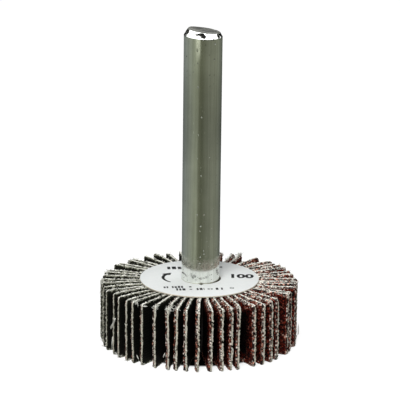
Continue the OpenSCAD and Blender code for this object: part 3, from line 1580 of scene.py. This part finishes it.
@dataclass
class LooseThreads:
    """Cotton fibres that stand out of the flaps' cut edges, and a few longer strands.

    Pairs of numbers are spans to draw from. Those of a thickness are shares of the radius,
    and curl, fan, lean, jog and bow are shares of a fibre's, tuft's or strand's own size.
    """

    pack: FlapPack
    per_flap: int = 30
    fibre_r: float = 0.036
    thickness: tuple[float, float] = (0.7, 1.4)
    shortest: float = 0.25
    longer: float = 0.75
    across: tuple[float, float] = (-0.3, 0.36)
    aside: tuple[float, float] = (-0.3, 0.4)
    curl: float = 0.12
    past_r: float = 0.28
    past_top: float = 0.16
    over_floor: float = 0.06
    tuft_thickness: tuple[float, float] = (0.9, 1.5)
    tuft_in: tuple[float, float] = (-0.4, 0.1)
    tuft_across: tuple[float, float] = (-0.35, 0.4)
    tuft_down: tuple[float, float] = (-0.35, 0.15)
    tuft_lean: tuple[float, float, float] = (0.0, 0.1, -0.1)
    tuft_fan: float = 0.6
    tuft_curl: float = 0.25
    tuft_past_r: float = 0.3
    tuft_past_top: float = 0.4
    tuft_over_floor: float = 0.04
    yarns: int = 3
    yarn_thickness: tuple[float, float] = (0.5, 0.8)
    yarn_jog: float = 0.175
    yarn_bow: float = 1.6
    strand_clear: float = 0.02
    strand_sunk: float = 0.5
    lowest: float = 0.01
    taper: tuple[float, ...] = (1.0, 1.0, 0.9, 0.75, 0.45)
    draw: random.Random = field(default_factory=lambda: random.Random(80))
    strands: tuple[Strand, ...] = (
        Strand(-57.0, 6.2, -62.4, 4.3, 0.19, 0.35),
        Strand(-57.6, 5.9, -62.2, 4.1, 0.15, 0.30),
        Strand(-60.1, 3.0, -60.8, 0.9, 0.08, 0.35),
        Strand(-87.0, 10.0, -88.5, 8.2, 0.06, 0.3),
        Strand(-35.0, 9.7, -31.0, 9.9, 0.06, 0.3),
        Strand(88.0, 1.2, 85.5, 3.2, 0.05, 0.5),
        Strand(-38.2, 1.6, -36.9, 1.0, 0.07, 0.2),
        Strand(-19.8, 2.8, -20.8, 2.1, 0.07, 0.2),
        Strand(18.0, 3.9, 19.5, 3.3, 0.05, 0.2),
    )
    tufts: tuple[Tuft, ...] = (
        Tuft(49, 15.3, 9.8, 38, 0.62),
        Tuft(49, 13.8, 9.9, 16, 0.80),
        Tuft(48, 15.3, 9.7, 34, 0.52),
        Tuft(50, 14.8, 9.8, 14, 0.50),
        Tuft(46, 15.1, 9.8, 34, 0.60),
        Tuft(47, 15.4, 9.7, 5, 0.35),
        Tuft(24, 15.3, 9.7, 22, 0.45),
        Tuft(22, 15.3, 9.8, 34, 0.60),
        Tuft(18, 15.4, 9.6, 30, 0.60),
        Tuft(17, 15.3, 9.6, 24, 0.55),
        Tuft(32, 15.3, 9.7, 24, 0.50),
        Tuft(33, 15.3, 9.7, 24, 0.50),
        Tuft(36, 15.4, 9.6, 26, 0.55),
        Tuft(37, 15.4, 9.6, 26, 0.55),
        Tuft(39, 15.4, 9.6, 24, 0.45),
        Tuft(40, 15.4, 0.6, 26, 0.60),
        Tuft(41, 15.4, 0.4, 22, 0.50),
        Tuft(15, 15.3, 9.6, 18, 0.45),
        Tuft(2, 15.4, 9.6, 14, 0.40),
        Tuft(3, 15.45, 2.9, 12, 0.30),
        Tuft(3, 15.45, 2.3, 12, 0.30),
        Tuft(43, 15.4, 0.3, 14, 0.40),
        Tuft(44, 15.4, 0.3, 18, 0.45),
        Tuft(45, 15.4, 0.2, 22, 0.50),
        Tuft(47, 15.4, 0.2, 10, 0.35),
    )

    def jog(self, size: float) -> Vector:
        """Draws a small step in any direction, up to a size along each axis."""
        return Vector([self.draw.uniform(-1.0, 1.0) * size for _ in range(3)])

    def bowed(self, start: Vector, end: Vector, bow: Vector) -> list[Vector]:
        """Gives the points of one fibre.

        Args:
            start: Where it leaves the edge.
            end: Its free end.
            bow: How far its middle is pushed aside.

        Returns:
            As many points along it as its taper has steps.
        """
        last = len(self.taper) - 1
        return [
            start.lerp(end, k / last) + bow * (4.0 * k / last * (1.0 - k / last))
            for k in range(last + 1)]

    def edges(self) -> tuple[Edge, ...]:
        """Gives a flap's outer, lower and upper edge.

        Returns:
            The edges, by rising limit.
        """
        tip, top = self.pack.wheel_r, self.pack.height
        return (
            Edge(0.27, True, tip - 0.05, (0.3, top - 0.4), 0.3, 0.9),
            Edge(0.37, False, 0.12, (14.6, tip - 0.05), 0.25, 0.3),
            Edge(1.00, False, top - 0.03, (9.6, tip - 0.1), 0.22, 0.8))

    def short_fibres(self) -> Iterable[Fibre]:
        """Gives the short fibres of the outer, lower and upper edge of each flap.

        Returns:
            The points and the radius of each.
        """
        pack, draw, edges = self.pack, self.draw, self.edges()
        for index in range(pack.count):
            for _ in range(self.per_flap):
                off = draw.uniform(*self.across)
                length = self.shortest + self.longer * draw.random() ** 2
                aside = draw.uniform(*self.aside) * length
                choice = draw.random()
                edge = next(edge for edge in edges if choice < edge.limit)
                place = (edge.place, draw.uniform(*edge.span))
                away = (edge.off * length, draw.uniform(-edge.along, edge.along) * length)
                if edge.upright:
                    off, aside = 0.6 * abs(off), 0.5 * aside
                else:
                    place, away = place[::-1], away[::-1]
                radius, height = place
                start = pack.at_edge(index, radius, off, height)
                end = pack.at_edge(
                    index, min(radius + away[0], pack.wheel_r + self.past_r), off + aside,
                    min(max(height + away[1], self.over_floor), pack.height + self.past_top))
                points = self.bowed(start, end, self.jog(self.curl * length))
                yield points, self.fibre_r * draw.uniform(*self.thickness)

    def tuft_fibres(self) -> Iterable[Fibre]:
        """Gives the fibres of the tufts at the frayed corners.

        Returns:
            The points and the radius of each.
        """
        pack, draw = self.pack, self.draw
        for index, radius, height, number, size in self.tufts:
            for _ in range(number):
                start = pack.at_edge(
                    index, radius + draw.uniform(*self.tuft_in),
                    draw.uniform(*self.tuft_across), height + draw.uniform(*self.tuft_down))
                out, aside, up = (draw.gauss(mean, self.tuft_fan) * size for mean in self.tuft_lean)
                end = pack.at_edge(
                    index, min(radius + out, pack.wheel_r + self.tuft_past_r), aside,
                    min(max(height + up, self.tuft_over_floor),
                        pack.height + self.tuft_past_top))
                points = self.bowed(start, end, self.jog(self.tuft_curl * size))
                yield points, self.fibre_r * draw.uniform(*self.tuft_thickness)

    def long_strands(self) -> Iterable[Fibre]:
        """Gives the yarns of each long strand.

        Returns:
            The points and the radius of each.
        """
        for strand in self.strands:
            out = self.pack.wheel_r + self.strand_clear + self.strand_sunk * strand.radius
            start, end = (
                Vector((out * math.sin(turn), -out * math.cos(turn), height))
                for turn, height in (
                    (math.radians(strand.first), strand.high),
                    (math.radians(strand.last), strand.low)))
            for _ in range(self.yarns):
                jogs = [self.jog(self.yarn_jog * strand.spread) for _ in range(3)]
                points = self.bowed(start + jogs[0], end + jogs[1], jogs[2] * self.yarn_bow)
                yield points, strand.radius * self.draw.uniform(*self.yarn_thickness)

    def build(self) -> None:
        """Makes, dresses and mounts all threads as one piece."""
        curve = bpy.data.curves.new("loose_threads", "CURVE")
        curve.dimensions = "3D"
        curve.bevel_depth = 1.0
        curve.bevel_resolution = 0
        curve.use_fill_caps = True
        for points, radius in [
                *self.short_fibres(), *self.tuft_fibres(), *self.long_strands()]:
            line = curve.splines.new("POLY")
            line.points.add(len(points) - 1)
            for place, point, share in zip(line.points, points, self.taper):
                place.co = (*point, 1.0)
                place.radius = radius * share
        threads = bpy.data.objects.new("loose_threads", curve)
        bpy.context.scene.collection.objects.link(threads)
        pick_one(threads)
        bpy.ops.object.convert(target="MESH")
        threads = bpy.context.object
        points = points_of(threads.data)
        points[:, 2] = np.clip(points[:, 2], self.lowest, None)
        set_points(threads.data, points * MM)
        dress(threads, LooseCotton)
        bpy.ops.object.shade_smooth()
        mount(threads, Slot.CLOTH)


@dataclass
class PhotoCamera:
    """The camera of the photograph. Its distance and aim are in metres."""

    distance: float = 0.400
    elevation: float = 16.092
    roll: float = 0.675
    lens_mm: float = 229.6
    aim: tuple[float, float, float] = (-0.0002, 0.0, 0.023108)

    def build(self) -> None:
        """Adds the camera and makes it the scene's."""
        deselect()
        bpy.ops.object.camera_add()
        camera = bpy.context.object
        rise = math.radians(self.elevation)
        place = Vector(self.aim) + Vector((
            0.0, -self.distance * math.cos(rise), self.distance * math.sin(rise)))
        camera.matrix_world = (
            Matrix.Translation(place)
            @ Matrix.Rotation(math.pi / 2 - rise, 4, "X")
            @ Matrix.Rotation(math.radians(self.roll), 4, "Z"))
        camera.data.lens = self.lens_mm
        camera.data.sensor_width = 36.0
        camera.data.clip_start = 0.01
        camera.data.dof.use_dof = False
        bpy.context.scene.camera = camera


@dataclass
class Studio:
    """Pale floor, soft lamps and the cards that the bright steel mirrors, in metres.

    Each lamp has a name, a place, a size and a power. The cards' shades run from the back
    over the left, the front and the right to the back, and from the floor to their top.
    """

    sky: float = 0.18
    floor_colour: str = "#969696"
    floor_lift: float = 0.84
    covered_r: float = 0.0130
    covered_edge: float = 0.0007
    # Colour of the painted shadow beneath the wheel
    painted_shadow_colour: str = "#040404"
    lamps: tuple[tuple[str, tuple[float, float, float], float, float], ...] = (
        ("key softbox", (-0.08, -0.28, 0.46), 0.26, 1.98),
        ("top softbox", (0.10, 0.22, 0.50), 0.30, 0.50),
        ("front softbox", (0.03, -0.52, 0.24), 0.24, 0.50),
    )
    card_r: float = 0.026
    card_high: float = 0.088
    bright_from: float = 0.059
    bright_edge: float = 0.003
    bright: float = 2.6
    card_turns: tuple[tuple[float, str], ...] = (
        (0.00, "#858a86"), (0.15, "#8a908a"), (0.30, "#9a9f8f"), (0.37, "#9fa48e"),
        (0.40, "#a6ab93"), (0.422, "#a6ab93"), (0.448, "#6a6d57"), (0.53, "#707360"),
        (0.60, "#808371"), (0.72, "#8b8e7b"), (0.80, "#858979"), (0.88, "#666a62"),
        (0.95, "#6c7069"), (1.00, "#858a86"),
    )
    card_heights: tuple[tuple[float, str], ...] = (
        (0.00, "#e6e6ea"), (0.17, "#e6e6ea"), (0.26, "#dcdce0"), (0.32, "#cacace"),
        (0.40, "#d4d4d6"), (0.46, "#ececee"), (0.51, "#ececee"), (0.55, "#2a2a2a"),
        (1.00, "#2a2a2a"),
    )
    gleam: str = "#eef2da"
    gleam_patch_mm: float = 1.6
    gleam_across: tuple[tuple[float, str], ...] = (
        (0.385, "#000000"), (0.41, "#ffffff"), (0.448, "#ffffff"), (0.460, "#000000"))
    gleam_up: tuple[tuple[float, str], ...] = (
        (0.464, "#000000"), (0.482, "#ffffff"), (0.55, "#ffffff"), (0.56, "#000000"))

    def seen_white(self, tree: Tree) -> Node:
        """Gives 1 on rays from the camera, gloss and glass, and 0 on the others.

        Args:
            tree: Node tree that reads it.

        Returns:
            The node that has it.
        """
        path = add_node(tree, "LightPath").outputs
        mirrored = add_node(tree, "Math", {
            0: path["Is Glossy Ray"], 1: path["Is Transmission Ray"]}, operation="MAXIMUM")
        return add_node(tree, "Math", {
            0: mirrored, 1: path["Is Camera Ray"]}, operation="MAXIMUM")

    def light_sky(self) -> None:
        """Makes the even light from all round, which is white where it is seen."""
        world = bpy.data.worlds.new("plain studio")
        bpy.context.scene.world = world
        world.use_nodes = True
        tree = world.node_tree
        tree.nodes.clear()
        strength = add_node(tree, "MapRange", {
            "Value": self.seen_white(tree), "To Min": self.sky, "To Max": 1.0})
        light = add_node(tree, "Background", {"Color": "#ffffff", "Strength": strength})
        add_node(tree, "OutputWorld", {"Surface": light})

    def lay_floor(self) -> None:
        """Makes the pale floor, which keeps the wheel's shadow.

        Its white stops beneath the wheel, where no light would reach it, and a painted shadow makes
        the floor there black.
        """
        floor = start_from(bpy.ops.mesh.primitive_plane_add, size=6.0)
        floor.name = "floor"
        material, tree, place = new_material("pale matt floor")
        radius = add_node(tree, "VectorMath", {0: place}, operation="LENGTH")
        bare = add_node(tree, "MapRange", {
            "Value": radius, "From Min": self.covered_r - self.covered_edge,
            "From Max": self.covered_r})
        # Painted shadow: the floor beneath the wheel is black
        tone = add_node(tree, "Mix", {
            SHARE: bare, FIRST: self.painted_shadow_colour, SECOND: self.floor_colour}, **MIX)
        matt = add_node(tree, "BsdfDiffuse", {"Color": tone})
        open_floor = add_node(tree, "Math", {0: bare, 1: self.floor_lift}, operation="MULTIPLY")
        lift = add_node(tree, "Math", {0: self.seen_white(tree), 1: open_floor},
                        operation="MULTIPLY")
        glow = add_node(tree, "Emission", {"Strength": lift})
        show(material, add_node(tree, "AddShader", {0: matt, 1: glow}))
        floor.data.materials.append(material)

    def hang_lamps(self) -> None:
        """Hangs the softboxes, each turned to the wheel."""
        for name, place, size, power in self.lamps:
            deselect()
            bpy.ops.object.light_add(type="AREA", location=place)
            lamp = bpy.context.object
            lamp.name = name
            lamp.data.shape = "DISK"
            lamp.data.size = size
            lamp.data.energy = power
            lamp.rotation_euler = Vector(place).to_track_quat("Z", "Y").to_euler()

    def paint_cards(self) -> Material:
        """Makes the cards' shades, with one brighter gleam and a bright upper strip.

        Returns:
            The material of the cards.
        """
        material, tree, place = new_material("matt studio card")
        axes = add_node(tree, "SeparateXYZ", {"Vector": place}).outputs
        front = add_node(tree, "Math", {0: axes[1], 1: -1.0}, operation="MULTIPLY")
        turn = add_node(tree, "Math", {0: axes[0], 1: front}, operation="ARCTAN2")
        share = add_node(tree, "MapRange", {
            "Value": turn, "From Min": -math.pi, "From Max": math.pi})
        rise = add_node(tree, "Math", {0: axes[2], 1: self.card_high}, operation="DIVIDE")
        shade, level, across, up = (
            add_node(tree, "ValToRGB", {"Fac": way}, stops=stops)
            for way, stops in (
                (share, self.card_turns), (rise, self.card_heights),
                (share, self.gleam_across), (rise, self.gleam_up)))
        toned = add_node(tree, "Mix", {SHARE: 1.0, FIRST: shade, SECOND: level}, **TINT)
        patches = add_node(tree, "TexNoise", {
            "Vector": place, "Scale": per_size(self.gleam_patch_mm), "Detail": 2.0})
        uneven = add_node(tree, "MapRange", {
            "Value": patches, "From Min": 0.38, "From Max": 0.56, "To Min": 0.15})
        area = add_node(tree, "Math", {0: across, 1: up}, operation="MULTIPLY")
        gleam = add_node(tree, "Math", {0: area, 1: uneven}, operation="MULTIPLY")
        card = add_node(tree, "Mix", {SHARE: gleam, FIRST: toned, SECOND: self.gleam}, **MIX)
        strip = add_node(tree, "MapRange", {
            "Value": axes[2], "From Min": self.bright_from,
            "From Max": self.bright_from + self.bright_edge})
        lit = add_node(tree, "Mix", {
            SHARE: strip, FIRST: card, SECOND: (self.bright,) * 3 + (1.0,)}, **MIX)
        return show(material, add_node(tree, "Emission", {"Color": lit}))

    def stand_cards(self) -> None:
        """Stands a ring of grey cards round the wheel, seen only in reflections."""
        ring = start_from(
            bpy.ops.mesh.primitive_cylinder_add, vertices=96, radius=self.card_r,
            depth=self.card_high, end_fill_type="NOTHING",
            location=(0.0, 0.0, self.card_high / 2))
        ring.name = "reflected_cards"
        ring.data.materials.append(self.paint_cards())
        ring.visible_camera = False
        ring.visible_diffuse = False
        ring.visible_shadow = False

    def build(self) -> None:
        """Makes the whole studio."""
        bpy.context.scene.view_settings.view_transform = "Standard"
        self.light_sky()
        self.lay_floor()
        self.hang_lamps()
        self.stand_cards()


def main() -> None:
    """Builds the studio and the wheel in order."""
    logging.basicConfig(level=logging.INFO, format="%(message)s")
    PhotoCamera().build()
    Studio().build()
    Shank().build()
    Label().build()
    ResinCore().build()
    pack = FlapPack()
    pack.build()
    LooseThreads(pack).build()


if __name__ == "__main__":
    main()
